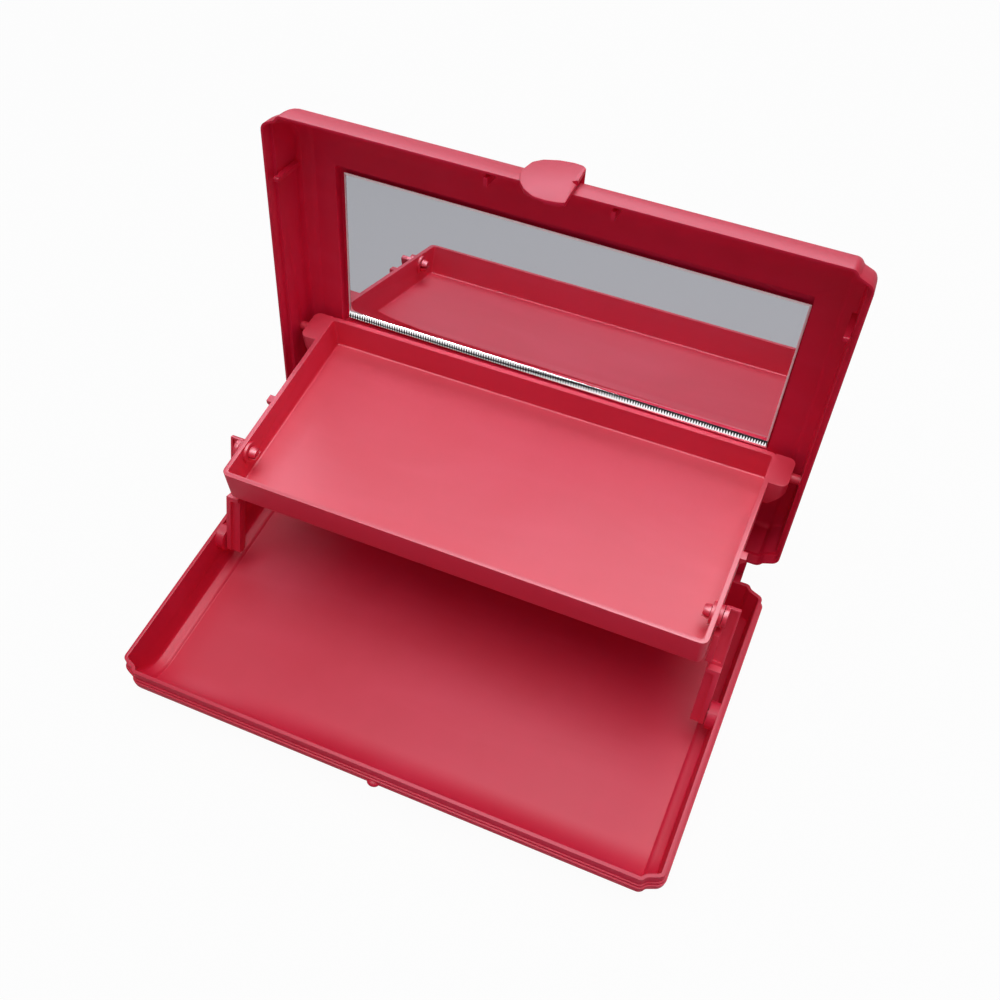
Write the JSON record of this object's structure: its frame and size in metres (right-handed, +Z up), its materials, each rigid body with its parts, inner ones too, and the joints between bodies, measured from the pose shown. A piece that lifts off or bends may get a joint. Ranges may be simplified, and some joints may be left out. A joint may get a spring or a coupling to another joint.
{
  "type": "makeup organizer case",
  "caption": "Shallow hinged plastic case, open, with a mirror in its lid and a tray that swings up and forward on side arms as the lid opens.",
  "frame": {"origin": "centre of the base's flat underside, on the surface that it stands on", "axes": "+X along the hinge to the right as seen from the front, +Y to the rear, +Z up"},
  "size_m": [0.24, 0.2011, 0.1795],
  "materials": {
    "coral_plastic": "satin",
    "mirror_glass": "polished",
    "adhesive_foam": "matte",
    "pin_steel": "satin"
  },
  "bodies": {
    "base": {"base_shell": "coral_plastic", "hinge_pin_left": "pin_steel", "hinge_pin_right": "pin_steel"},
    "lid": {"lid_shell": "coral_plastic", "mirror": "mirror_glass", "mirror_pad_lower": "adhesive_foam", "mirror_pad_upper": "adhesive_foam"},
    "tray": {"lift_tray": "coral_plastic"},
    "arm_left": {"swing_arm_left": "coral_plastic"},
    "arm_right": {"swing_arm_right": "coral_plastic"}
  },
  "joints": [
    {"name": "lid_hinge", "type": "hinge", "parent": "base", "child": "lid", "pos_m": [0, 0.07983, 0.02259], "axis": [1, 0, 0], "range_deg": [0, 99.3]},
    {"name": "tray_ear_pivot", "type": "hinge", "parent": "lid", "child": "tray", "pos_m": [0, 0.09731, 0.06822], "axis": [1, 0, 0], "range_deg": [-99.3, 0]},
    {"name": "arm_left_pivot", "type": "hinge", "parent": "base", "child": "arm_left", "pos_m": [-0.1155, 0.00675, 0.01796], "axis": [1, 0, 0], "range_deg": [0, 99.3]},
    {"name": "arm_right_pivot", "type": "hinge", "parent": "base", "child": "arm_right", "pos_m": [0.1155, 0.00675, 0.01796], "axis": [1, 0, 0], "range_deg": [0, 99.3]}
  ],
  "couplings": [
    {"joint": "tray_ear_pivot", "follows": "lid_hinge", "ratio": -1},
    {"joint": "arm_left_pivot", "follows": "lid_hinge", "ratio": 1},
    {"joint": "arm_right_pivot", "follows": "lid_hinge", "ratio": 1}
  ]
}
